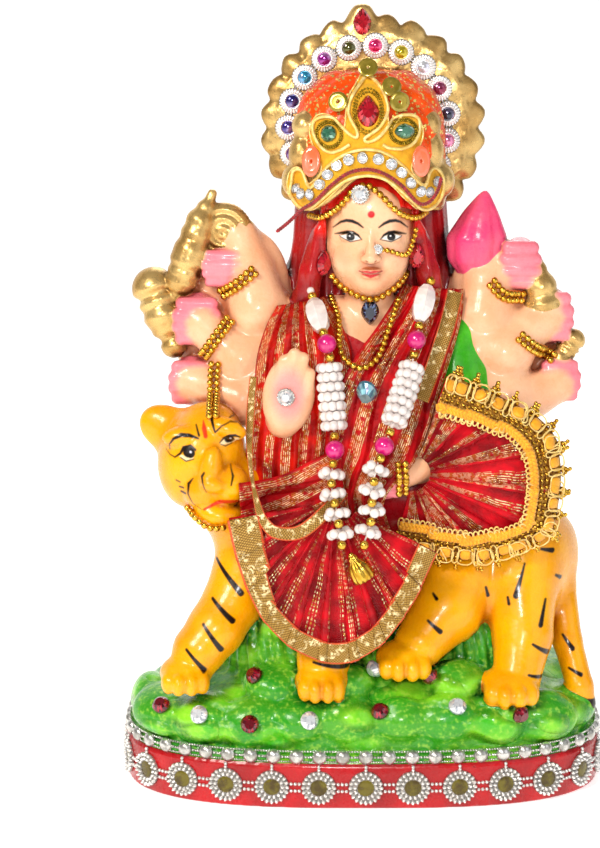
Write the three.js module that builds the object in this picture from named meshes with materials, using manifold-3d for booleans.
// Durga figure seated on a tiger: one painted plaster cast with its plinth, dressed with glued beads,
// stones, trims and pleated cloth. Millimetres, +Z up, the figure faces -Y, origin under the plinth.
import * as THREE from "three";
import { mergeVertices } from "three/addons/utils/BufferGeometryUtils.js";
import Module from "manifold-3d";

const wasm = await Module();
wasm.setup();

// Driving dimensions of the cast
const FIGURE_HEIGHT = 224; // top of the plinth to the tip of the halo
const PLINTH_LENGTH = 150;
const PLINTH_DEPTH = 86;
const RIM_HEIGHT = 14; // the red band that carries the rosette trim
const LIP_HEIGHT = 3; // the green lip over it that carries the bead trim
const LIP_INSET = 1;
const PLAN_POWER = 2.8; // of the plinth's superellipse plan
const HALO_THICKNESS = 6;
const HALO_LOBES = 24;

// Driving dimensions of what is glued on
const GLUE_GAP = 0.3;
const GOLD_BEAD = 2.1;
const PINK_PEARL = 5.8;
const WHITE_BEAD = 5.2;
const OVAL_BEAD_LENGTH = 12;
const SEED_ROLL_LENGTH = 19;
const SEED_ROLL = 8.6;
const ROCK_STONE = 5.6;
const FOREHEAD_STONE = 5.6;
const PALM_STONE = 5.2;
const RHINESTONE = 3.3;
const PATCH_THICKNESS = 1.6;
const ROSETTE = 10.3;
const ROSETTE_PITCH = 14;
const ROSETTE_THICKNESS = 1.4;
const BEAD_RAIL = 0.6;
const BASE_BEAD = 4.3;
const BASE_BEAD_PITCH = 7;
const HALO_ROSETTE = 8;
const HALO_ROSETTES = 13;

// Driving dimensions of the cloth
const CLOTH = 1; // thickness of a layer with its folds pressed flat
const FRONT_PLEATS = 13;
const SIDE_PLEATS = 15;
const PLEAT_DEPTH = 2.4;
const RIBBON_WIDTH = 6.5;
const LACE_WIDTH = 9;

// The pose is written in millimetres from the floor, for a figure this tall on a plinth this high.
const POSE_HEIGHT = 224;
const POSE_PLINTH = 17;
const PLINTH_HEIGHT = RIM_HEIGHT + LIP_HEIGHT;
const size = FIGURE_HEIGHT / POSE_HEIGHT;

function at(x, y, z) {
  return new THREE.Vector3(x * size, y * size, PLINTH_HEIGHT + (z - POSE_PLINTH) * size);
}

// Solids from plain geometry

// A closed surface from points and triangles, turned right side out.
function closedSolid(points, triangles) {
  let volume = 0;
  for (let i = 0; i < triangles.length; i += 3) {
    const [a, b, c] = [0, 1, 2].map((k) => points[triangles[i + k]]);
    volume += a.dot(b.clone().cross(c));
  }
  const faces = volume < 0 ? triangles.slice().reverse() : triangles;
  const geometry = new THREE.BufferGeometry().setFromPoints(points);
  geometry.setIndex(faces);
  return solidOf(geometry);
}

function solidOf(geometry) {
  const bare = new THREE.BufferGeometry();
  bare.setAttribute("position", geometry.getAttribute("position"));
  if (geometry.index) bare.setIndex(geometry.index);
  const merged = mergeVertices(bare, 1e-4);
  return new wasm.Manifold(
    new wasm.Mesh({
      numProp: 3,
      vertProperties: new Float32Array(merged.attributes.position.array),
      triVerts: new Uint32Array(merged.index.array),
    }),
  );
}

function geometryOf(solid) {
  const mesh = solid.getMesh();
  const geometry = new THREE.BufferGeometry();
  const vertices = new Float32Array(mesh.numVert * 3);
  for (let i = 0; i < mesh.numVert; i++) {
    vertices.set(mesh.vertProperties.subarray(i * mesh.numProp, i * mesh.numProp + 3), i * 3);
  }
  geometry.setAttribute("position", new THREE.BufferAttribute(vertices, 3));
  geometry.setIndex(new THREE.BufferAttribute(mesh.triVerts, 1));
  geometry.computeVertexNormals();
  return geometry;
}

const join = (solids) => solids.reduce((whole, next) => whole.add(next));
// Plaster fills any hollow that its own forms close in.
const filled = (solid) => join(solid.decompose().filter((body) => body.volume() > 0));
const cut = (solid, others) => others.reduce((rest, other) => rest.subtract(other), solid);

// Joins leave slivers: edges shorter than a stated length are closed up where the skin stays closed.
function welded(solid, shortest) {
  const mesh = solid.getMesh();
  const places = Array.from({ length: mesh.numVert }, (_, i) =>
    new THREE.Vector3().fromArray(mesh.vertProperties, i * mesh.numProp),
  );
  const faces = Array.from({ length: mesh.numTri }, (_, i) => [...mesh.triVerts.slice(3 * i, 3 * i + 3)]);
  let rest = faces;
  for (let count = 0; count !== rest.length; ) {
    count = rest.length;
    const moved = closings(places, rest, shortest);
    const follow = (corner) => moved.get(corner) ?? corner;
    rest = rest.map((face) => face.map(follow)).filter(([a, b, c]) => a !== b && b !== c && c !== a);
  }
  const used = [...new Set(rest.flat())];
  const order = new Map(used.map((corner, i) => [corner, i]));
  return closedSolid(
    used.map((corner) => places[corner]),
    rest.flat().map((corner) => order.get(corner)),
  );
}

// Short edges that can close at once: no two share a neighbour, and each has just two faces' corners.
function closings(places, faces, shortest) {
  const around = new Map();
  const link = (a, b) => around.set(a, (around.get(a) ?? new Set()).add(b));
  const edges = [];
  faces.forEach(([a, b, c]) => {
    [
      [a, b],
      [b, c],
      [c, a],
    ].forEach(([from, to]) => {
      link(from, to);
      link(to, from);
      const length = places[from].distanceTo(places[to]);
      if (from < to && length < shortest) edges.push({ from, to, length });
    });
  });
  const moved = new Map();
  const locked = new Set();
  edges
    .sort((one, other) => one.length - other.length)
    .forEach(({ from, to }) => {
      const shared = [...around.get(from)].filter((corner) => around.get(to).has(corner));
      if (locked.has(from) || locked.has(to) || shared.length !== 2) return;
      moved.set(to, from);
      [from, to, ...around.get(from), ...around.get(to)].forEach((corner) => locked.add(corner));
    });
  return moved;
}

// Rings of equal count, joined one to the next and closed by a fan at each end.
function loft(rings, firstTip, lastTip) {
  const count = rings[0].length;
  const points = rings.flat();
  const triangles = [];
  for (let r = 0; r + 1 < rings.length; r++) {
    for (let i = 0; i < count; i++) {
      const a = r * count + i;
      const b = r * count + ((i + 1) % count);
      triangles.push(a, b, b + count, a, b + count, a + count);
    }
  }
  const last = (rings.length - 1) * count;
  points.push(firstTip ?? middle(rings[0]), lastTip ?? middle(rings.at(-1)));
  for (let i = 0; i < count; i++) {
    const next = (i + 1) % count;
    triangles.push(points.length - 2, next, i);
    triangles.push(points.length - 1, last + i, last + next);
  }
  return closedSolid(points, triangles);
}

function middle(ring) {
  const sum = ring.reduce((total, point) => total.add(point), new THREE.Vector3());
  return sum.divideScalar(ring.length);
}

// A level oval ring; power 2 is an ellipse, more is squarer.
function ovalRing(centre, rx, ry, count, power = 2, lump = () => 1) {
  return Array.from({ length: count }, (_, i) => {
    const angle = (2 * Math.PI * i) / count;
    const c = Math.cos(angle);
    const s = Math.sin(angle);
    const reach = lump(angle) / (Math.abs(c) ** power + Math.abs(s) ** power) ** (1 / power);
    return new THREE.Vector3(centre.x + rx * reach * c, centre.y + ry * reach * s, centre.z);
  });
}

// A stack of oval rings [x, y, z, half width, half depth] of the pose, grown all round.
function stack(rows, grow, count = 10, lump = () => 1) {
  const rings = rows.map(([x, y, z, rx, ry]) =>
    ovalRing(at(x, y, z), rx * size + grow, ry * size + grow, count, 2, lump),
  );
  rings[0].forEach((point) => (point.z -= grow));
  rings.at(-1).forEach((point) => (point.z += grow));
  return loft(rings);
}

const LARGE_EGG = 12;

// An egg [x, y, z, rx, ry, rz, tilt in degrees about the line of sight] of the pose.
function egg([x, y, z, rx, ry, rz, tilt = 0], grow) {
  const big = Math.max(rx, rz) > LARGE_EGG;
  const geometry = new THREE.SphereGeometry(1, big ? 9 : 6, big ? 6 : 4);
  geometry.rotateX(Math.PI / 2);
  geometry.scale(rx * size + grow, ry * size + grow, rz * size + grow);
  geometry.rotateY(THREE.MathUtils.degToRad(tilt));
  const centre = at(x, y, z);
  geometry.translate(centre.x, centre.y, centre.z);
  return solidOf(geometry);
}

// Two directions across each station of a path, carried along it without twist.
function frames(path) {
  const across = [];
  let side = new THREE.Vector3(0, 1, 0);
  path.forEach((point, i) => {
    const ahead = path[Math.min(i + 1, path.length - 1)];
    const behind = path[Math.max(i - 1, 0)];
    const along = ahead.clone().sub(behind).normalize();
    if (Math.abs(side.dot(along)) > 0.95) side = new THREE.Vector3(1, 0, 0);
    const u = side.clone().addScaledVector(along, -side.dot(along)).normalize();
    const v = along.clone().cross(u);
    across.push({ along, u, v });
    side = u;
  });
  return across;
}

// A round section carried along a path, each station with its own radius.
function tube(path, radii, sides, ends = 0) {
  const across = frames(path);
  const rings = path.map((point, i) =>
    Array.from({ length: sides }, (_, k) => {
      const angle = (2 * Math.PI * k) / sides;
      return point
        .clone()
        .addScaledVector(across[i].u, radii[i] * Math.cos(angle))
        .addScaledVector(across[i].v, radii[i] * Math.sin(angle));
    }),
  );
  const first = path[0].clone().addScaledVector(across[0].along, -ends * radii[0]);
  const last = path.at(-1).clone().addScaledVector(across.at(-1).along, ends * radii.at(-1));
  return loft(rings, first, last);
}

// A limb of the pose: points [x, y, z, radius] with round ends.
function limb(points, grow, sides = 6) {
  const path = points.map(([x, y, z]) => at(x, y, z));
  const radii = points.map((point) => point[3] * size + grow);
  return tube(path, radii, sides, 0.6);
}

// The plinth and the rock that rises from it
const MOUND_ROWS = [
  [0, 1],
  [7, 0.97],
  [13, 0.89],
  [18, 0.76],
  [24, 0.5],
];
const PLINTH_SIDES = 28;
const MOUND_SIDES = 20;
const MOUND_LUMPS = 7;

function plinth(grow) {
  const half = [PLINTH_LENGTH / 2 + grow, PLINTH_DEPTH / 2 + grow];
  const ring = (z, inset) =>
    ovalRing(new THREE.Vector3(0, 0, z), half[0] - inset, half[1] - inset, PLINTH_SIDES, PLAN_POWER);
  return loft([
    ring(0, 0),
    ring(RIM_HEIGHT, 0),
    ring(RIM_HEIGHT, LIP_INSET),
    ring(PLINTH_HEIGHT, LIP_INSET),
  ]);
}

function mound(grow) {
  const half = [PLINTH_LENGTH / 2 - 2 * LIP_INSET, PLINTH_DEPTH / 2 - 2 * LIP_INSET];
  const rings = MOUND_ROWS.map(([rise, share], row) => {
    const lump = (angle) =>
      1 + (row ? 0.025 * Math.sin(MOUND_LUMPS * angle + 2 * row) * (2 - share) : 0);
    const centre = new THREE.Vector3(0, 0, PLINTH_HEIGHT + rise * size + (row ? grow : -grow));
    return ovalRing(centre, half[0] * share + grow, half[1] * share + grow, MOUND_SIDES, PLAN_POWER, lump);
  });
  return loft(rings);
}

// Leaf-shaped folds of the rock that lean up between the tiger's legs and behind them: [x, y, foot, top, rx, ry].
const ROCK_FOLDS = [
  [2, 9, 30, 62, 44, 24],
  [-27, -9, 30, 64, 18, 19],
  [36, -8, 30, 64, 16, 17],
  [4, -9, 30, 60, 17, 18],
];
const FOLD_RIDGES = 7;

function rockFold([x, y, foot, top, rx, ry], grow) {
  const ridge = (angle) => 1 + 0.07 * Math.sign(Math.cos(FOLD_RIDGES * angle));
  const rows = [
    [x, y, foot, rx, ry],
    [x, y, (foot + top) / 2, rx * 0.86, ry * 0.86],
    [x, y, top, rx * 0.5, ry * 0.5],
  ];
  return stack(rows, grow, 2 * FOLD_RIDGES, ridge);
}

// The tiger
const TIGER_BODY = [
  [-42, -7, 78, 17],
  [-30, -2, 76, 20.5],
  [-8, 1, 73, 20],
  [18, 2, 71, 20],
  [40, 2, 71, 20.5],
  [52, 1, 70, 16],
];
const TIGER_LIMBS = [
  [
    [-38, -8, 82, 17],
    [-46, -18, 96, 15.5],
  ],
  [
    [-37, -15, 72, 12.5],
    [-43, -22, 59, 11.5],
    [-50, -28, 47, 9.5],
    [-54, -31, 41, 6.5],
  ],
  [
    [-10, -14, 66, 10],
    [-12, -25, 54, 9.5],
    [-13, -31, 43, 8],
  ],
  [
    [31, -10, 68, 14],
    [25, -20, 57, 11.5],
    [17, -27, 48, 8.5],
  ],
  [
    [48, -14, 62, 12.5],
    [49, -22, 49, 9.5],
    [47, -28, 39, 8],
  ],
  [
    [60, 2, 74, 6],
    [62, -5, 60, 5.4],
    [64, -12, 44, 5],
    [67.5, -18, 31, 4.6],
    [69.5, -19, 26.5, 3.6],
  ],
];
const TIGER_EGGS = [
  [-52, -22, 106, 17, 15, 15.5, 8],
  [-46, -35, 97.5, 10, 9, 7.4, 12],
  [-45, -32, 90.5, 8.4, 8.5, 5.5, 12],
  [-65, -18, 114.5, 6.4, 4.5, 7, -35],
  [-55.2, -33.5, 110, 5.6, 4, 4.4],
  [-42.4, -34, 112, 5.4, 4, 4.4],
  [-47.6, -36, 105.5, 4.2, 5, 8, 14],
  [49, -4, 70, 16, 19, 20],
];

// Paws: [x, y, z, half width], low pads whose front is parted into toes.
const PAWS = [
  [-55.5, -34, 40, 10],
  [-13.5, -36, 38.5, 9],
  [12, -31, 44, 10],
  [44.5, -32, 36, 10.5],
];
const PAW_HEIGHT = 5.4;
const PAW_SIDES = 12;

function paw([x, y, z, half], grow) {
  const toe = (angle) => 1 + 0.07 * Math.cos((PAW_SIDES / 2) * (angle - Math.PI / 2)) * (Math.sin(angle) < 0.1 ? 1 : 0);
  const rows = [
    [x, y, z - PAW_HEIGHT, half * 0.8, half * 0.75],
    [x, y, z - PAW_HEIGHT * 0.3, half, half * 0.95],
    [x, y, z + PAW_HEIGHT * 0.7, half * 0.75, half * 0.65],
  ];
  return stack(rows, grow, PAW_SIDES, toe);
}

// The goddess
const TORSO = [
  [5, -3, 82, 26, 17],
  [3, -4, 96, 20, 14.5],
  [1, -6, 112, 21, 15],
  [1, -7, 126, 23, 15.5],
  [1, -5, 138, 27, 13.5],
  [1.5, -3, 146, 22, 11],
  [1.5, -3, 152, 11, 8.5],
];
const BODY_LIMBS = [
  [
    [1.5, -5, 146, 8.2],
    [1.2, -7, 158, 7.6],
  ],
  [
    [4, -8, 92, 17],
    [26, -14, 96, 16],
    [44, -16, 96, 13.5],
  ],
  [
    [-6, -12, 88, 16],
    [-9, -22, 74, 12],
    [-11, -27, 60, 9],
  ],
  [
    [-25, -4, 138, 8.5],
    [-30, -13, 122, 7.5],
    [-25, -25, 117, 5.5],
  ],
  [
    [29, -3, 139, 8.5],
    [31, -12, 121, 7.8],
    [20, -26, 106, 6.4],
    [9, -31, 101, 4.6],
  ],
];
const BODY_EGGS = [
  [-8.5, -17.5, 128, 9, 7, 8],
  [11, -17.5, 128, 9, 7, 8],
  [-24, -27.5, 125.5, 8.2, 4.2, 12.6, 8],
  [-21.5, -29, 134, 5.6, 3.4, 6, 20],
  [5.5, -34, 101, 6.6, 4.6, 6.4],
];

// Hair and veil down the back, head and crown
const VEIL = [
  [3, 5, 84, 25, 12],
  [1, 5, 112, 26, 10],
  [1.5, 4, 138, 31, 10],
  [1.8, 6, 152, 27, 8.5],
  [2, 6, 166, 24.5, 9],
  [1.5, 5, 188, 23, 10],
];
const HEAD_EGGS = [
  [1.2, -7.5, 171, 15, 14.5, 18.5],
  [1.2, -13, 158.5, 6.5, 6.5, 5],
  [1.2, -22.6, 168.6, 2.2, 2.8, 4.4],
];
const CROWN = [
  [1.2, -4, 179, 22.5, 15],
  [1.2, -4, 185, 24.5, 17],
  [1.2, -3, 195, 24, 18],
  [1.2, -2, 205, 22.5, 17],
  [1.2, -1, 214, 18, 14],
  [1.2, 1, 221, 10, 9],
];
const CROWN_KNOBS = [
  [-20.5, -9, 196, 4.6, 5, 6],
  [-19.5, -8, 206, 4.4, 5, 4.6],
  [22.5, -9, 197, 4.6, 5, 6],
  [21.5, -8, 207, 4.4, 5, 4.6],
];

// The arms of each side grow out of one thick fan of plaster behind them.
const ARM_FANS = [
  [-41, 1, 146, 17, 6.5, 27, 16],
  [44, 1, 143, 17.5, 6.5, 27, -14],
];

// The six upper arms end in fists: each limb runs shoulder, elbow, wrist, hand.
const ARMS = [
  [
    [-24, -1, 142, 9],
    [-33, -4, 148, 9.6],
    [-36, -2, 160, 8],
    [-39, -1, 170, 6.4],
  ],
  [
    [-26, -4, 137, 8.6],
    [-38.5, -8, 133, 8.4],
    [-44, -8, 138, 6.6],
    [-50, -7, 144, 6],
  ],
  [
    [-27, -8, 126, 8],
    [-38, -11, 121, 8.4],
    [-46, -10, 124, 6.8],
    [-53, -8, 126, 6],
  ],
  [
    [27, -1, 143, 9],
    [37, -4, 146, 9.6],
    [38, -2, 156, 8.4],
    [42, -1, 162, 6.6],
  ],
  [
    [29, -5, 137, 8.6],
    [43, -8, 135, 8.8],
    [50, -6, 142, 6.8],
    [56, -5, 146, 6],
  ],
  [
    [30, -9, 126, 8],
    [44, -10, 122, 8.4],
    [52, -8, 122, 7],
    [59, -7, 125, 6],
  ],
];

// Fists: [x, y, z, rx, ry, rz], closed hands whose fingers lie one over the other.
const FISTS = [
  [-43.5, -5, 161, 7.8, 6.6, 6.8],
  [-51.5, -6, 145, 8.4, 6.8, 9],
  [-53.5, -7, 126, 8, 7, 8.4],
  [47.5, -4, 162, 7, 6.6, 9],
  [57, -4, 146, 8, 6.8, 9.6],
  [60, -6, 126.5, 7.6, 6.8, 8],
];
const FINGER_GROOVE = 0.86;

function fist([x, y, z, rx, ry, rz], grow) {
  const shares = [-1, -0.67, -0.33, 0, 0.33, 0.67, 1];
  const rows = shares.map((share, i) => {
    const girth = Math.sqrt(1.15 - share * share) * (i % 2 ? 1 : FINGER_GROOVE);
    return [x, y, z + share * rz, rx * girth, ry * girth];
  });
  return stack(rows, grow, 5);
}

// What the hands hold, all part of the cast: conch and discus, mace, lotus bud, bell and knob.
const ATTRIBUTES = [
  [
    [-57, -5, 155, 3.4],
    [-54.5, -5, 164, 5.4],
    [-50.5, -4, 175, 4.6],
    [-47, -3, 181, 2.6],
  ],
  [
    [-59, -5, 137, 3.6],
    [-62, -4, 146, 5.4],
    [-65, -2, 154, 6.6],
  ],
  [
    [34, -1, 160, 6],
    [34.5, -1, 168, 9.2],
    [35.5, -1, 174, 8],
    [36.5, -1, 183, 1.6],
  ],
  [
    [54.5, -5, 151, 5.6],
    [54, -5, 157, 5],
    [52, -5, 163, 2.4],
  ],
  [
    [61, -6, 134, 3.2],
    [64, -5, 138, 3.4],
  ],
];

function discus(grow) {
  const geometry = new THREE.CylinderGeometry(9 * size + grow, 9 * size + grow, 5 * size + 2 * grow, 12);
  const centre = at(-43.5, -3, 172);
  geometry.translate(centre.x, centre.y, centre.z);
  return solidOf(geometry);
}

// The halo: a lobed disc with a finial, standing behind the crown.
const HALO = { x: 2.6, y: 12, z: 202.5, radius: 33.4, lobe: 2.4, finialWidth: 6, finialTop: 38.5 };

// A lobe is a valley and two shoulders: [share of the lobe's turn, rise as a share of its height].
const LOBE_POINTS = [
  [0, -1],
  [0.28, 0.5],
  [0.72, 0.5],
];

function halo(grow) {
  const radius = HALO.radius * size + grow;
  const lobe = HALO.lobe * size;
  const rim = Array.from({ length: 3 * HALO_LOBES }, (_, i) => {
    const [turn, rise] = LOBE_POINTS[i % 3];
    const angle = (2 * Math.PI * (Math.floor(i / 3) + turn)) / HALO_LOBES;
    const reach = radius + rise * lobe;
    return new THREE.Vector2(reach * Math.sin(angle), reach * Math.cos(angle));
  });
  const depth = HALO_THICKNESS * size + 2 * grow;
  const options = { depth, bevelEnabled: false };
  const disc = new THREE.ExtrudeGeometry(new THREE.Shape(rim), options);
  const finial = new THREE.ExtrudeGeometry(new THREE.Shape(finialOutline(grow)), options);
  return [disc, finial].map((geometry) => {
    geometry.rotateX(Math.PI / 2);
    const centre = at(HALO.x, HALO.y, HALO.z);
    geometry.translate(centre.x, centre.y + depth / 2, centre.z);
    return solidOf(geometry);
  });
}

// The finial leans a little to the left, where the halo's own tip does.
function finialOutline(grow) {
  const half = HALO.finialWidth * size + grow;
  const lean = -3.6 * size;
  const top = HALO.finialTop * size + grow;
  const foot = (HALO.radius - 6) * size;
  const rows = [
    [-1.5, foot],
    [-1.1, 0.84 * top],
    [-0.45, 0.985 * top],
    [0.35, top],
    [1.1, 0.84 * top],
    [1.7, foot],
  ];
  return rows.map(([share, height]) => new THREE.Vector2(lean + share * half, height));
}

const CAST_SHORT_EDGE = 1.2;

// The modelled forms run into each other; the plinth and the halo keep their crisp edges.
function castBody(grow) {
  const modelled = filled(join([
    mound(grow),
    ...ROCK_FOLDS.map((row) => rockFold(row, grow)),
    limb(TIGER_BODY, grow, 10),
    ...TIGER_LIMBS.map((points) => limb(points, grow)),
    ...TIGER_EGGS.map((row) => egg(row, grow)),
    ...PAWS.map((row) => paw(row, grow)),
    stack(TORSO, grow),
    ...BODY_LIMBS.map((points) => limb(points, grow)),
    ...BODY_EGGS.map((row) => egg(row, grow)),
    stack(VEIL, grow),
    ...HEAD_EGGS.map((row) => egg(row, grow)),
    stack(CROWN, grow),
    ...CROWN_KNOBS.map((row) => egg(row, grow)),
    ...ARM_FANS.map((row) => egg(row, grow)),
    ...ARMS.map((points) => limb(points, grow)),
    ...FISTS.map((row) => fist(row, grow)),
    ...ATTRIBUTES.map((points) => limb(points, grow)),
    discus(grow),
  ]));
  return filled(join([welded(modelled, CAST_SHORT_EDGE), plinth(grow), ...halo(grow)]));
}

// Laying pieces on what is already there

const FAR = 200;
const solids = new Map();

function meshOf(solid) {
  const material = new THREE.MeshBasicMaterial({ side: THREE.DoubleSide });
  return new THREE.Mesh(geometryOf(solid), material);
}

// Where a line of sight along +Y first meets the layers, with the facet's normal; null if it misses.
function frontAt(x, z, meshes) {
  const ray = new THREE.Raycaster(new THREE.Vector3(x, -FAR, z), new THREE.Vector3(0, 1, 0));
  const hit = ray.intersectObjects(meshes, false)[0];
  return hit ? { point: hit.point, normal: hit.face.normal.clone() } : null;
}

// The depth of the layers' front round a place, or a stated depth where nothing is behind it.
function depthAt(place, free, meshes, reach) {
  const offsets = [
    [0, 0],
    [reach, 0],
    [-reach, 0],
    [0, reach],
    [0, -reach],
  ];
  const hits = offsets.map(([x, z]) => frontAt(place.x + x, place.z + z, meshes));
  return Math.min(free, ...hits.filter(Boolean).map((hit) => hit.point.y));
}

// Holds a row of depths taut: a string or cloth spans hollows but never sinks behind what it lies on.
function taut(depths, passes) {
  const held = depths.slice();
  for (let pass = 0; pass < passes; pass++) {
    for (let i = 1; i + 1 < held.length; i++) {
      held[i] = Math.min(held[i], (held[i - 1] + held[i + 1]) / 2);
    }
  }
  return held;
}

const SPAN_SAMPLES = 40;
const SPAN_PASSES = 25;

// A string laid on the front along points [x, z] of the pose, its centre a given height off the surface.
function laidPath(points, height, meshes, passes = SPAN_PASSES, reach = height) {
  const flat = new THREE.CatmullRomCurve3(points.map(([x, z]) => at(x, 0, z)));
  const places = flat.getSpacedPoints(SPAN_SAMPLES);
  const depths = places.map((place) => depthAt(place, 0, meshes, reach));
  const held = taut(depths, passes);
  places.forEach((place, i) => (place.y = held[i] - height));
  return new THREE.CatmullRomCurve3(places);
}

// Beads of one size strung on a curve: a section of few sides, narrow between the beads.
const NECK = 0.62;
const BEAD_SIDES = 4;

function beadString(curve, bead, grow, sides = BEAD_SIDES, flatness = 1) {
  const count = Math.max(3, Math.round(curve.getLength() / bead));
  const path = curve.getSpacedPoints(2 * count);
  const radii = path.map((_, i) => (bead / 2) * (i % 2 ? 1 : NECK) * flatness + grow);
  return tube(path, radii, sides);
}

// Two such strings side by side as one band: a flat section across the band's own width.
function doubleString(points, bead, grow, meshes) {
  const curve = laidPath(points, bead * 0.8, meshes, 4, bead);
  const count = Math.max(3, Math.round(curve.getLength() / bead));
  const path = curve.getSpacedPoints(2 * count);
  const across = frames(path);
  const rings = path.map((point, i) => {
    const wide = bead * (i % 2 ? 1 : 0.75) + grow;
    const thick = (bead / 2) * (i % 2 ? 1 : NECK) + grow;
    return [
      [-wide, 0],
      [0, -thick],
      [wide, 0],
      [0, thick],
    ].map(([v, u]) => point.clone().addScaledVector(across[i].v, v).addScaledVector(across[i].u, u));
  });
  return loft(rings);
}

// A stone with a flat back and a crown of facets, set square on the surface at [x, z] of the pose.
function stone(place, outline, thickness, grow, meshes, table = 0.55) {
  const centre = at(place[0], 0, place[1]);
  const hit = frontAt(centre.x, centre.z, meshes);
  const normal = hit.normal.y < 0 ? hit.normal : hit.normal.negate();
  const turn = new THREE.Quaternion().setFromUnitVectors(new THREE.Vector3(0, -1, 0), normal);
  const seat = hit.point.clone().addScaledVector(normal, 2 * GLUE_GAP);
  const ring = (share, height) =>
    outline.map(([u, w]) => {
      const reach = Math.hypot(u, w);
      const wide = share + grow / reach;
      return new THREE.Vector3(u * wide, -height, w * wide).applyQuaternion(turn).add(seat);
    });
  return loft([ring(1, -grow), ring(1, thickness * 0.4), ring(table, thickness + grow)]);
}

function roundOutline(diameter, count) {
  return Array.from({ length: count }, (_, i) => {
    const angle = (2 * Math.PI * (i + 0.5)) / count;
    return [(diameter / 2) * Math.cos(angle), (diameter / 2) * Math.sin(angle)];
  });
}

// A drop: round at one end and pointed at the other, in a width and a height; up is 1 or -1.
function dropOutline(width, height, up) {
  return [0, 1, 2, 3, 4, 5, 6, 7].map((i) => {
    const angle = (2 * Math.PI * i) / 8;
    const taper = 1 - 0.35 * Math.max(0, Math.cos(angle));
    return [(width / 2) * Math.sin(angle) * taper * -up, (height / 2) * Math.cos(angle) * up];
  });
}

// Skins: a flat outline pressed on the crown, as thick as the space between two grown surfaces
function outset(outline, distance) {
  const count = outline.length;
  const turn = Math.sign(THREE.ShapeUtils.area(outline));
  return outline.map((point, i) => {
    const before = outline[(i + count - 1) % count];
    const after = outline[(i + 1) % count];
    const along = after.clone().sub(before).normalize();
    return new THREE.Vector2(point.x + along.y * distance * turn, point.y - along.x * distance * turn);
  });
}

// A prism through the figure along Y from an outline of [x, z] of the pose, down to a depth behind.
function prism(outline, behind, grow) {
  const points = outline.map(([x, z]) => {
    const place = at(x, 0, z);
    return new THREE.Vector2(place.x, place.z);
  });
  const shape = new THREE.Shape(outset(points, grow));
  const depth = FAR + behind * size;
  const geometry = new THREE.ExtrudeGeometry(shape, { depth, bevelEnabled: false });
  geometry.rotateX(Math.PI / 2);
  geometry.translate(0, behind * size, 0);
  return solidOf(geometry);
}

function skin(outline, behind, form, inner, outer, grow) {
  const shell = prism(outline, behind, grow).intersect(form(outer + grow));
  return largest(shell.subtract(form(inner - grow)));
}

const largest = (solid) =>
  solid.decompose().reduce((most, body) => (body.volume() > most.volume() ? body : most));

// Materials
const finish = (color, roughness, metalness = 0) =>
  new THREE.MeshStandardMaterial({ color, roughness, metalness });
const PAINTED_PLASTER = finish(0xe2b48c, 0.3);
const RED_SATIN = finish(0xb3122a, 0.45);
const GOLD_RIBBON = finish(0xc79a3f, 0.4, 0.7);
const YELLOW_LACE = finish(0xe0a21c, 0.6, 0.2);
const GOLD_BEADS = finish(0xc8952b, 0.3, 0.9);
const SILVER_TRIM = finish(0xc9c9cf, 0.3, 0.9);
const WHITE_BEADS = finish(0xf3f1ec, 0.4);
const CLEAR_STONE = finish(0xdfe6ee, 0.1);
const RED_STONE = finish(0xb0102c, 0.12);
const GREEN_STONE = finish(0x3f7a5c, 0.12);
const DARK_STONE = finish(0x2a3346, 0.15);
const ORANGE_PLASTIC = finish(0xf08a5a, 0.3);
const SEQUIN = finish(0x9c8a1e, 0.25, 0.2);
const YELLOW_FELT = finish(0xe2ad18, 0.7);
const RED_THREAD = finish(0x9e1836, 0.8);

const figure = new THREE.Group();
const SHORT_EDGE = 0.25;

function clearOf(solid, below) {
  const meets = solid.intersect(below.clear());
  return meets.isEmpty() ? solid : solid.subtract(below.clear()).subtract(below.solid);
}

// Adds a piece after cutting it clear of the pieces that it lies on; build makes it grown by a gap.
function add(name, material, build, under = []) {
  const whole = build(0);
  const trimmed = under.map((below) => solids.get(below)).reduce(clearOf, whole);
  const solid = trimmed === whole ? whole : welded(trimmed, SHORT_EDGE);
  let clear;
  solids.set(name, {
    clear: () => (clear ??= build(GLUE_GAP)),
    solid,
    front: meshOf(solid),
  });
  const mesh = new THREE.Mesh(geometryOf(solid), material);
  mesh.name = name;
  figure.add(mesh);
}

const fronts = (names) => names.map((name) => solids.get(name).front);

add("cast_statue", PAINTED_PLASTER, castBody);
const ON_CAST = ["cast_statue"];

// Trims of the plinth: a band of rosettes round the rim and a row of beads round the lip, front and sides
const TRIM_REACH = 0.62; // share of the plan's outline that the trims cover

function planCurve(height, stand, inset) {
  const half = [PLINTH_LENGTH / 2 - inset + stand, PLINTH_DEPTH / 2 - inset + stand];
  const count = 120;
  const ring = ovalRing(new THREE.Vector3(0, 0, height), half[0], half[1], count, PLAN_POWER);
  return new THREE.CatmullRomCurve3(ring, true);
}

const UP = new THREE.Vector3(0, 0, 1);
const PLAN_FRONT = 0.75; // where the plan curve passes the middle of the front

// Stations along the plan's front, a pitch apart either side of the middle.
function trimStations(curve, pitch, phases) {
  const length = curve.getLength();
  const reach = Math.floor((TRIM_REACH * length) / 2 / pitch);
  return Array.from({ length: 2 * reach * phases + 1 }, (_, i) => {
    const share = PLAN_FRONT + ((i / phases - reach) * pitch) / length;
    const u = ((share % 1) + 1) % 1;
    const out = curve.getTangentAt(u).cross(UP).normalize();
    return { point: curve.getPointAt(u), across: UP, out, phase: i % phases };
  });
}

const EDGE_SHARE = 0.6;

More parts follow.
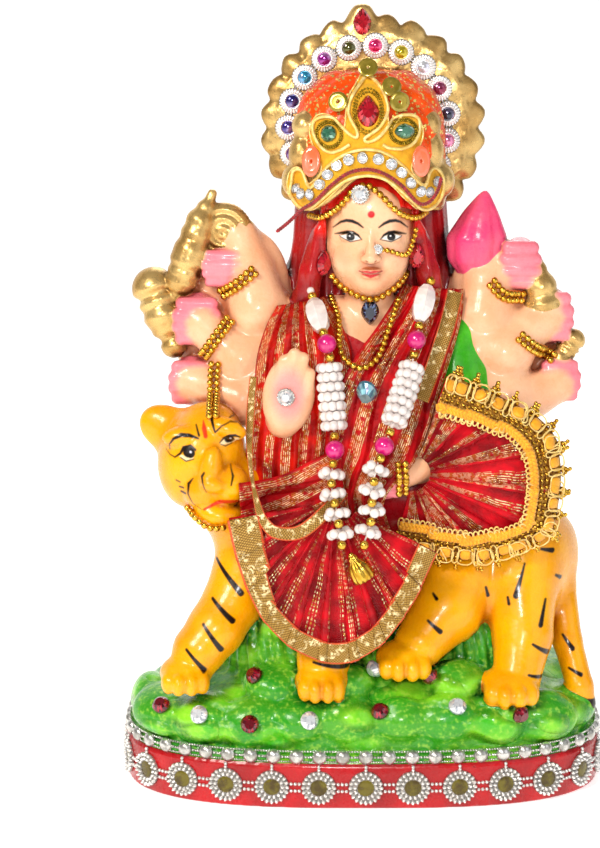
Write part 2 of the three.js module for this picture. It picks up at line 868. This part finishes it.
// A trim: a tall flat section whose height and bulge follow the phase of each station.
function trimBand(stations, heights, bulges, thickness, grow) {
  const rings = stations.map(({ point, across, out, phase }) => {
    const tall = heights[phase] + grow;
    const proud = bulges[phase] + grow;
    return [
      [-tall, -grow],
      [-tall * EDGE_SHARE, thickness + proud],
      [tall * EDGE_SHARE, thickness + proud],
      [tall, -grow],
    ].map(([up, forth]) => point.clone().addScaledVector(across, up).addScaledVector(out, forth));
  });
  return loft(rings);
}

// A rosette is read along the band: link, shoulder, disc with its boss, shoulder.
const ROSETTE_SHAPE = [0.2, 0.9, 1, 0.9];
const ROSETTE_BOSS = [0, 0.1, 0.8, 0.1];

function rosetteBand(stations, diameter, thickness, grow) {
  const heights = ROSETTE_SHAPE.map((share) => (share * diameter) / 2);
  const bulges = ROSETTE_BOSS.map((share) => share * thickness);
  return trimBand(stations, heights, bulges, thickness, grow);
}

function rosetteTrim(grow) {
  const curve = planCurve(RIM_HEIGHT / 2, GLUE_GAP, 0);
  const stations = trimStations(curve, ROSETTE_PITCH, ROSETTE_SHAPE.length);
  return rosetteBand(stations, ROSETTE, ROSETTE_THICKNESS, grow);
}

function beadTrim(grow) {
  const curve = planCurve(RIM_HEIGHT + BASE_BEAD / 2 + 2 * GLUE_GAP, 2 * GLUE_GAP, LIP_INSET);
  const half = BASE_BEAD / 2;
  const stations = trimStations(curve, BASE_BEAD_PITCH, 2);
  return trimBand(stations, [0.3 * half, half], [0, half], BEAD_RAIL, grow);
}

add("rosette_trim", SILVER_TRIM, rosetteTrim, ON_CAST);
add("bead_trim", SILVER_TRIM, beadTrim, [...ON_CAST, "rosette_trim"]);

// The halo's chain of rosettes, on its front face
const CHAIN = { x: 1.1, z: 203, radius: 24.8, from: -109.5, to: 118.7 };

function haloChain(grow) {
  const centre = at(CHAIN.x, HALO.y, CHAIN.z);
  const face = centre.y - (HALO_THICKNESS / 2) * size - GLUE_GAP;
  const phases = ROSETTE_SHAPE.length;
  const total = (HALO_ROSETTES - 1) * phases;
  const stations = Array.from({ length: total + phases }, (_, i) => {
    const share = (i - phases / 2) / total;
    const angle = THREE.MathUtils.degToRad(CHAIN.from + (CHAIN.to - CHAIN.from) * share);
    const across = new THREE.Vector3(Math.sin(angle), 0, Math.cos(angle));
    const point = new THREE.Vector3(centre.x, face, centre.z).addScaledVector(across, CHAIN.radius * size);
    return { point, across, out: new THREE.Vector3(0, -1, 0), phase: i % phases };
  });
  return rosetteBand(stations, HALO_ROSETTE, 1, grow);
}

add("halo_chain", SILVER_TRIM, haloChain, ON_CAST);

// Stones on the rock
const RED_PLACES = [
  [-62.5, 29.2],
  [-33.7, 38.9],
  [-35.2, 26.9],
  [4.3, 30.1],
  [19.3, 39.8],
  [46.6, 29.4],
];
const CLEAR_PLACES = [
  [-50.5, 28.7],
  [-17.3, 28.2],
  [3.2, 41.4],
  [27.6, 31.7],
];
const STONE_SIDES = 7;
const STONE_RISE = 0.36; // height as a share of the diameter

function setStone(name, material, place, outline, thickness, under = ON_CAST) {
  add(name, material, (grow) => stone(place, outline, thickness, grow, fronts(under)), under);
}

function setRound(name, material, place, diameter, under = ON_CAST) {
  setStone(name, material, place, roundOutline(diameter, STONE_SIDES), diameter * STONE_RISE, under);
}


// The stones keep their share of the rock's length, for which the pose has a plinth this long.
const POSE_PLINTH_LENGTH = 150;
const alongRock = ([x, z]) => [(x * PLINTH_LENGTH) / (POSE_PLINTH_LENGTH * size), z];
RED_PLACES.forEach((place, i) => setRound("rock_stone_red_" + (i + 1), RED_STONE, alongRock(place), ROCK_STONE));
CLEAR_PLACES.forEach((place, i) => setRound("rock_stone_clear_" + (i + 1), CLEAR_STONE, alongRock(place), ROCK_STONE));
setRound("palm_stone", CLEAR_STONE, [-24.2, 125.7], PALM_STONE);
const HALO_GEM_RISE = 7.1; // from the middle line of the chain to the gem's middle
setStone("halo_gem", RED_STONE, [-1, CHAIN.z + CHAIN.radius + HALO_GEM_RISE], dropOutline(5.6, 8, 1), 1.8);

// Crown dressing: a felt patch with a corded edge, its stones, discs and sequins
const PATCH_HALF = [
  [0, 190.9],
  [7, 188.5],
  [11.8, 184],
  [16, 180.3],
  [20.5, 180.4],
  [23.2, 184],
  [23.4, 189.7],
  [21.2, 192.5],
  [18.8, 191.3],
  [16.4, 188],
  [13, 193],
  [15.5, 198],
  [16.9, 203.3],
  [14.8, 208],
  [10.6, 208],
  [6.4, 204.3],
  [5.7, 212.7],
  [3.2, 217.3],
  [0, 221.3],
];
const CROWN_MIDDLE = -0.2;

const crownForm = (grow) => join([stack(CROWN, grow), ...CROWN_KNOBS.map((row) => egg(row, grow))]);

function crownPatch(grow) {
  const right = PATCH_HALF.map(([x, z]) => [CROWN_MIDDLE + x, z]);
  const left = PATCH_HALF.slice(1, -1).map(([x, z]) => [CROWN_MIDDLE - x, z]);
  return skin([...right, ...left.reverse()], -3, crownForm, GLUE_GAP, GLUE_GAP + PATCH_THICKNESS, grow);
}

add("crown_patch", YELLOW_FELT, crownPatch, ON_CAST);
const ON_PATCH = [...ON_CAST, "crown_patch"];

const RHINESTONE_ARC = [
  [-21.7, 186.5],
  [-18.5, 184.2],
  [-14.4, 188.1],
  [-9.5, 193.3],
  [-1, 195.8],
  [7.1, 194],
  [13.3, 188.6],
  [17.5, 185.2],
  [20.7, 188.2],
];
const RHINESTONE_PITCH = 4;

function rhinestoneChain(grow) {
  const curve = laidPath(RHINESTONE_ARC, RHINESTONE / 2 + GLUE_GAP, fronts(ON_PATCH), 6);
  return beadString(curve, RHINESTONE_PITCH, grow, 4, RHINESTONE / RHINESTONE_PITCH);
}

add("crown_rhinestones", CLEAR_STONE, rhinestoneChain, ON_PATCH);

const THREAD_PATH = [
  [21.4, 186],
  [18.1, 181.8],
  [14.5, 182.6],
  [10, 187],
  [-0.1, 191.2],
  [-11.1, 186.6],
  [-15.8, 182.3],
  [-19.2, 180.2],
  [-23.3, 176.4],
  [-27, 173.2],
];
const THREAD = 1.2;

function crownThread(grow) {
  const curve = laidPath(THREAD_PATH, THREAD, fronts([...ON_PATCH, "crown_rhinestones"]), 6);
  const path = curve.getSpacedPoints(14);
  return tube(path, path.map(() => THREAD / 2 + grow), 3);
}

add("crown_thread", RED_THREAD, crownThread, [...ON_PATCH, "crown_rhinestones"]);

setStone("crown_gem_red", RED_STONE, [0.2, 209.4], dropOutline(6.6, 9.6, 1), 2.2, ON_PATCH);
setRound("crown_gem_green_left", GREEN_STONE, [-11.1, 202.8], 5, ON_PATCH);
setStone("crown_gem_green_right", GREEN_STONE, [11, 203.7], dropOutline(5, 6.4, 1), 1.8, ON_PATCH);

const SEQUIN_PLACES = [
  [-8.7, 212.2],
  [7.1, 216.6],
  [9.5, 212.3],
];
const DISC_PLACES = [
  [-16.4, 194.6],
  [15.5, 194.9],
];
const FLAT_SIDES = 8;
SEQUIN_PLACES.forEach((place, i) =>
  setStone("crown_sequin_" + (i + 1), SEQUIN, place, roundOutline(6, FLAT_SIDES), 0.4, ON_PATCH),
);
DISC_PLACES.forEach((place, i) => {
  const oval = roundOutline(1, FLAT_SIDES).map(([u, w]) => [u * 5.5, w * 9]);
  setStone("crown_disc_" + ["left", "right"][i], ORANGE_PLASTIC, place, oval, 0.8, ON_PATCH);
});

// Cloth

// Wraps laid over the body: the two side edges of each as [x, z] of the pose, from the top down.
const WRAPS = {
  shoulder_wrap_left: {
    one: [
      [-30.5, 149.5],
      [-28, 142],
      [-16, 136],
      [-14.8, 124],
      [-15.2, 112],
      [-17, 101],
    ],
    other: [
      [-14, 152.5],
      [-4, 146.5],
      [6, 140],
      [12, 130],
      [12.5, 117],
      [11, 102],
    ],
  },
  shoulder_drape_right: {
    one: [
      [15.5, 154],
      [12.5, 143],
      [13, 130],
      [11, 117],
      [6, 105],
    ],
    other: [
      [30, 155],
      [29, 147],
      [25.5, 135],
      [21, 121],
      [14, 104],
    ],
  },
  waist_sash: {
    other: [
      [-34, 121],
      [-36.5, 109],
      [-36.5, 97],
    ],
    one: [
      [-28.5, 112.5],
      [-15, 109],
      [-9, 97],
    ],
  },
};
const WRAP_COLUMNS = 5;
const WRAP_ROWS = 6;

// The height field between two side edges, held taut across and down.
function wrapField({ one, other }, columns, rows, meshes) {
  const edges = [one, other].map(
    (points) => new THREE.CatmullRomCurve3(points.map(([x, z]) => at(x, 0, z))),
  );
  const grid = Array.from({ length: columns + 1 }, (_, i) =>
    Array.from({ length: rows + 1 }, (_, k) => {
      const place = edges[0].getPointAt(k / rows).lerp(edges[1].getPointAt(k / rows), i / columns);
      place.y = depthAt(place, 0, meshes, 2 * CLOTH);
      return place;
    }),
  );
  grid.forEach((column) => setDepths(column, taut(depthsOf(column), 3)));
  for (let k = 0; k <= rows; k++) {
    const row = grid.map((column) => column[k]);
    setDepths(row, taut(depthsOf(row), 3));
  }
  return (column, share) => grid[column][Math.round(share * rows)].clone();
}

const depthsOf = (places) => places.map((place) => place.y);

function setDepths(places, depths) {
  places.forEach((place, i) => (place.y = depths[i]));
}

let wrapped = ON_CAST;
Object.entries(WRAPS).forEach(([name, edges]) => {
  const under = wrapped;
  const field = wrapField(edges, WRAP_COLUMNS, WRAP_ROWS, fronts(under));
  const shares = Array.from({ length: WRAP_ROWS + 1 }, (_, k) => k / WRAP_ROWS);
  const build = (grow) => pleatedSlab(field, WRAP_COLUMNS, shares, CLOTH, 2 * CLOTH, CLOTH, grow);
  add(name, RED_SATIN, build, under);
  wrapped = [...under, name];
});

// Pleated fans gathered at a knot: [x, z] of the knot, the hem's points, and the depth where it hangs free.
const FRONT_FAN = {
  knot: [-9.5, 96],
  gather: 7,
  free: -38,
  hem: [
    [-40.4, 91.6],
    [-36.5, 80.3],
    [-31.4, 68.4],
    [-20, 53.1],
    [-8, 47.2],
    [4.1, 53.1],
    [13, 65.3],
    [19, 77.2],
  ],
};
const SIDE_FAN = {
  knot: [13, 103],
  gather: 6,
  free: -20,
  hem: [
    [23.5, 131],
    [37.5, 125.5],
    [53, 116.3],
    [57.5, 107],
    [58.3, 97.6],
    [56, 84],
    [48.8, 79],
    [35, 75],
    [19, 77],
  ],
};
const FAN_SAMPLES = 9;
const FAN_STAND = 1.6;

// The height field of a fan: the place on it a share along the hem and a share down a pleat.
function fanField(fan, columns, meshes) {
  const hem = new THREE.CatmullRomCurve3(fan.hem.map(([x, z]) => at(x, 0, z)));
  const knot = at(fan.knot[0], 0, fan.knot[1]);
  const ribs = hem.getSpacedPoints(columns).map((end) => {
    const start = knot.clone().lerp(end, (fan.gather * size) / knot.distanceTo(end));
    const places = Array.from({ length: FAN_SAMPLES }, (_, k) => start.clone().lerp(end, k / (FAN_SAMPLES - 1)));
    const depths = taut(places.map((place) => depthAt(place, fan.free * size, meshes, 3 * CLOTH)), 8);
    return { start, end, depths };
  });
  // Neighbouring pleats hold each other taut as well.
  for (let k = 0; k < FAN_SAMPLES; k++) {
    const held = taut(ribs.map((rib) => rib.depths[k]), 6);
    ribs.forEach((rib, i) => (rib.depths[k] = held[i]));
  }
  return (column, share) => {
    const { start, end, depths } = ribs[column];
    const place = start.clone().lerp(end, share);
    const k = Math.min(FAN_SAMPLES - 2, Math.max(0, Math.floor(share * (FAN_SAMPLES - 1))));
    const part = share * (FAN_SAMPLES - 1) - k;
    place.y = depths[k] + (depths[k + 1] - depths[k]) * part;
    return place;
  };
}

// A closed slab over a grid of places, thick along Y, with its folds alternating by column.
function pleatedSlab(place, columns, shares, fold, stand, thickness, grow) {
  const surface = (push) =>
    Array.from({ length: columns + 1 }, (_, i) =>
      shares.map((share) => {
        const point = place(i, share);
        point.y += push - stand + (i % 2 ? 0.5 : -0.5) * fold * Math.min(1, 0.35 + share);
        return point;
      }),
    );
  const front = surface(-thickness - grow);
  const back = surface(grow);
  const rows = shares.length;
  const points = [...front.flat(), ...back.flat()];
  const behind = front.length * rows;
  const triangles = [];
  const quad = (a, b, c, d) => triangles.push(a, b, c, a, c, d);
  for (let i = 0; i < columns; i++) {
    for (let k = 0; k + 1 < rows; k++) {
      const a = i * rows + k;
      quad(a, a + 1, a + rows + 1, a + rows);
      quad(behind + a, behind + a + rows, behind + a + rows + 1, behind + a + 1);
    }
    const low = i * rows + rows - 1;
    quad(low, behind + low, behind + low + rows, low + rows);
    const high = i * rows;
    quad(high, high + rows, behind + high + rows, behind + high);
  }
  for (let k = 0; k + 1 < rows; k++) {
    quad(k, behind + k, behind + k + 1, k + 1);
    const end = columns * rows + k;
    quad(end, end + 1, behind + end + 1, behind + end);
  }
  return closedSolid(points, triangles);
}

// Where a border of a given width starts, as a share of a pleat's length.
const borderShare = (fan, width) => {
  const reach = new THREE.Vector3(fan.knot[0] - fan.hem[3][0], 0, fan.knot[1] - fan.hem[3][1]);
  return 1 - width / (reach.length() * size - fan.gather * size);
};

function addFan(name, border, borderMaterial, fan, pleats, borderWidth, under) {
  const columns = 2 * pleats;
  const field = fanField(fan, columns, fronts(under));
  const hemShare = borderShare(fan, borderWidth);
  const cloth = (grow) =>
    pleatedSlab(field, columns, [0, 0.5, hemShare + 0.04], PLEAT_DEPTH, FAN_STAND, CLOTH, grow);
  add(name, RED_SATIN, cloth, under);
  const edge = (grow) =>
    pleatedSlab(field, columns, [hemShare, 1], PLEAT_DEPTH, FAN_STAND + CLOTH + GLUE_GAP, CLOTH, grow);
  add(border, borderMaterial, edge, [...under, name]);
}

addFan("skirt_fan_front", "skirt_border_front", GOLD_RIBBON, FRONT_FAN, FRONT_PLEATS, RIBBON_WIDTH, wrapped);
const SKIRT = [...wrapped, "skirt_fan_front", "skirt_border_front"];
addFan("skirt_fan_side", "skirt_lace_side", YELLOW_LACE, SIDE_FAN, SIDE_PLEATS, LACE_WIDTH, SKIRT);
const DRESS = [...SKIRT, "skirt_fan_side", "skirt_lace_side"];

// Flat ribbons along a path, a width across and a thickness proud
function ribbon(points, width, thickness, grow, meshes, steps) {
  const path = laidPath(points, 2 * GLUE_GAP, meshes, 12, width / 2).getSpacedPoints(steps);
  const across = frames(path);
  const rings = path.map((point, i) => {
    const side = across[i].v.clone().setY(0).normalize();
    return [
      [-width / 2 - grow, grow],
      [-width / 2 - grow, -thickness - grow],
      [width / 2 + grow, -thickness - grow],
      [width / 2 + grow, grow],
    ].map(([wide, deep]) => {
      const corner = point.clone().addScaledVector(side, wide);
      corner.y += deep;
      return corner;
    });
  });
  return loft(rings);
}

const SASH_RIBBON = [
  [-34.1, 130.2],
  [-34.4, 117],
  [-34.4, 104],
  [-31.5, 88],
  [-23, 82.5],
  [-10, 91.5],
];
const DRAPE_RIBBON = [
  [27.2, 154.6],
  [24.6, 145],
  [20.5, 134],
  [16.5, 124],
];
const THIN_RIBBON = 2.6;

add(
  "sash_ribbon",
  GOLD_RIBBON,
  (grow) => ribbon(SASH_RIBBON, THIN_RIBBON, CLOTH, grow, fronts(DRESS), 12),
  DRESS,
);
add(
  "drape_ribbon",
  GOLD_RIBBON,
  (grow) => ribbon(DRAPE_RIBBON, RIBBON_WIDTH * 0.8, CLOTH, grow, fronts(DRESS), 5),
  DRESS,
);
const RIBBONED = [...DRESS, "sash_ribbon", "drape_ribbon"];

// Gold beads on the head
const HAIRLINE = [
  [-17.4, 176.7],
  [-13.8, 177.1],
  [-9.9, 179.6],
  [-6.6, 183],
  [-4, 186.2],
  [0, 187.6],
  [4.1, 184.8],
  [7.8, 181],
  [11.4, 178.4],
  [15.3, 177.3],
  [18.9, 178.4],
];
const CROWNED = [...ON_PATCH, "crown_rhinestones", "crown_thread"];

function addBeads(name, points, under, passes) {
  const build = (grow) =>
    beadString(laidPath(points, 0.8 * GOLD_BEAD, fronts(under), passes), GOLD_BEAD, grow);
  add(name, GOLD_BEADS, build, under);
}

addBeads("hairline_beads", HAIRLINE, CROWNED, 6);
setRound("forehead_stone", CLEAR_STONE, [-1.9, 185], FOREHEAD_STONE, [...CROWNED, "hairline_beads"]);
setStone("earring_left", RED_STONE, [-13.1, 163.3], dropOutline(4.9, 8, 1), 2);
setStone("earring_right", RED_STONE, [15.3, 165.7], dropOutline(4.9, 8, 1), 2);
const NOSE_CHAIN = [
  [3.7, 168.8],
  [6.9, 168.2],
  [12.2, 166.8],
  [14.4, 171.2],
  [15, 174.5],
];
addBeads("nose_ring", NOSE_CHAIN, [...CROWNED, "hairline_beads", "earring_right"], 10);

// Necklaces and garlands
const NECK_SHORT = [
  [-11, 160],
  [-7.3, 156.3],
  [-1.1, 153.3],
  [3.4, 153],
  [9.1, 156.4],
  [12.8, 160.1],
];
const NECK_LONG = [
  [-10.6, 152.4],
  [-8.4, 147],
  [-8, 139],
  [-5.6, 135.4],
  [-1, 133.8],
  [3.6, 136.8],
  [6.4, 143.5],
  [10.2, 152.8],
];
addBeads("necklace_short", NECK_SHORT, RIBBONED);
addBeads("necklace_long", NECK_LONG, [...RIBBONED, "necklace_short"]);
const NECKLACES = [...RIBBONED, "necklace_short", "necklace_long"];
setStone("pendant_dark", DARK_STONE, [1.3, 148.6], dropOutline(5.5, 7.5, -1), 2.2, NECKLACES);
setStone("pendant_crystal", CLEAR_STONE, [0.6, 128.2], dropOutline(6.4, 10, -1), 2.4, NECKLACES);
const HUNG = [...NECKLACES, "pendant_dark", "pendant_crystal"];

// A garland's order of beads: g gold, w white, o oval, p pink, r a roll of seed beads, s a seed cluster.
const BEAD_KINDS = {
  g: { length: GOLD_BEAD * 1.6, girth: GOLD_BEAD * 1.5 },
  w: { length: WHITE_BEAD, girth: WHITE_BEAD },
  o: { length: OVAL_BEAD_LENGTH, girth: WHITE_BEAD * 1.15 },
  p: { length: PINK_PEARL, girth: PINK_PEARL },
  r: { length: SEED_ROLL_LENGTH, girth: SEED_ROLL, bumps: 4 },
  s: { length: WHITE_BEAD * 1.1, girth: WHITE_BEAD * 1.35 },
};
const GARLAND_LEFT = {
  order: "wgogpgrgpgsgsgsgsg",
  path: [
    [-17, 156],
    [-14.6, 148.3],
    [-11.4, 139],
    [-10.9, 130],
    [-9.6, 112.4],
    [-10.2, 107],
    [-10.6, 100],
    [-8.9, 92],
    [-7.5, 82.5],
  ],
};
const GARLAND_RIGHT = {
  order: "gogpgrgpgsgsgsgsg",
  path: [
    [20, 159.5],
    [17.4, 152.5],
    [15, 142],
    [13, 133],
    [9, 122],
    [4.9, 112.4],
    [2.6, 107],
    [1.2, 100],
    [1.1, 91.8],
    [-1, 83.5],
  ],
};
const GARLAND_SIDES = 4;
const GARLAND_STAND = 3;

function garland({ order, path }, grow, meshes) {
  const curve = laidPath(path, GARLAND_STAND, meshes);
  const kinds = [...order].map((letter) => BEAD_KINDS[letter]);
  const strung = kinds.reduce((sum, kind) => sum + kind.length, 0);
  const stretch = curve.getLength() / strung;
  const stations = [];
  let start = 0;
  kinds.forEach(({ length, girth, bumps = 1 }) => {
    for (let bump = 0; bump < bumps; bump++) {
      const from = start + (length * bump) / bumps;
      const crest = girth / 2;
      stations.push([from, bump ? 0.8 * crest : 0.5 * Math.min(crest, GOLD_BEAD)]);
      stations.push([from + (length / bumps) * 0.5, crest]);
    }
    start += length;
  });
  stations.push([start, 0.3 * GOLD_BEAD]);
  const points = stations.map(([along]) => curve.getPointAt(Math.min(1, (along * stretch) / curve.getLength())));
  const radii = stations.map(([, radius]) => radius + grow);
  return tube(points, radii, GARLAND_SIDES);
}

add("garland_left", WHITE_BEADS, (grow) => garland(GARLAND_LEFT, grow, fronts(HUNG)), HUNG);
const WITH_LEFT = [...HUNG, "garland_left"];
add("garland_right", WHITE_BEADS, (grow) => garland(GARLAND_RIGHT, grow, fronts(HUNG)), WITH_LEFT);
const GARLANDED = [...WITH_LEFT, "garland_right"];
const BELL = [-4.2, 77.5];
const BELL_SIZE = 7;

function garlandBell(grow) {
  const place = at(BELL[0], 0, BELL[1]);
  place.y = depthAt(place, 0, fronts(HUNG), BELL_SIZE / 2) - GARLAND_STAND;
  const path = [0.5, 0.1, -0.5].map((share) => place.clone().setZ(place.z + share * BELL_SIZE));
  return tube(path, [0.2, 0.5, 0.36].map((share) => share * BELL_SIZE + grow), FLAT_SIDES);
}

add("garland_bell", GOLD_BEADS, garlandBell, GARLANDED);

// Bracelets: doubled gold beads glued across each wrist
const BRACELETS = {
  bracelet_left_upper: [
    [-44.7, 152.8],
    [-39.2, 156.6],
    [-33.4, 161.3],
  ],
  bracelet_left_middle: [
    [-41, 146.5],
    [-45.3, 141.1],
    [-49.7, 134.7],
  ],
  bracelet_left_lower: [
    [-45.9, 133.6],
    [-46.3, 127.5],
    [-46.1, 119.8],
  ],
  bracelet_right_upper: [
    [37.8, 157.9],
    [42.2, 153.4],
    [49.2, 151.9],
  ],
  bracelet_right_middle: [
    [46.3, 141.8],
    [51.8, 137.4],
    [58, 133.6],
  ],
};
let braceletsBelow = RIBBONED;
Object.entries(BRACELETS).forEach(([name, points]) => {
  const under = braceletsBelow;
  add(name, GOLD_BEADS, (grow) => doubleString(points, GOLD_BEAD, grow, fronts(ON_CAST)), under);
  braceletsBelow = [...under, name];
});
const LAP_BRACELET = [
  [10.1, 107.4],
  [10.4, 102.7],
  [10.5, 97],
];
add(
  "bracelet_lap",
  GOLD_BEADS,
  (grow) => doubleString(LAP_BRACELET, GOLD_BEAD, grow, fronts(RIBBONED)),
  GARLANDED,
);
const COLLAR = [
  [-54.6, 92.7],
  [-50.9, 90],
  [-46.9, 87.6],
  [-42, 88],
];
addBeads("tiger_collar", COLLAR, DRESS, 6);

export default figure;
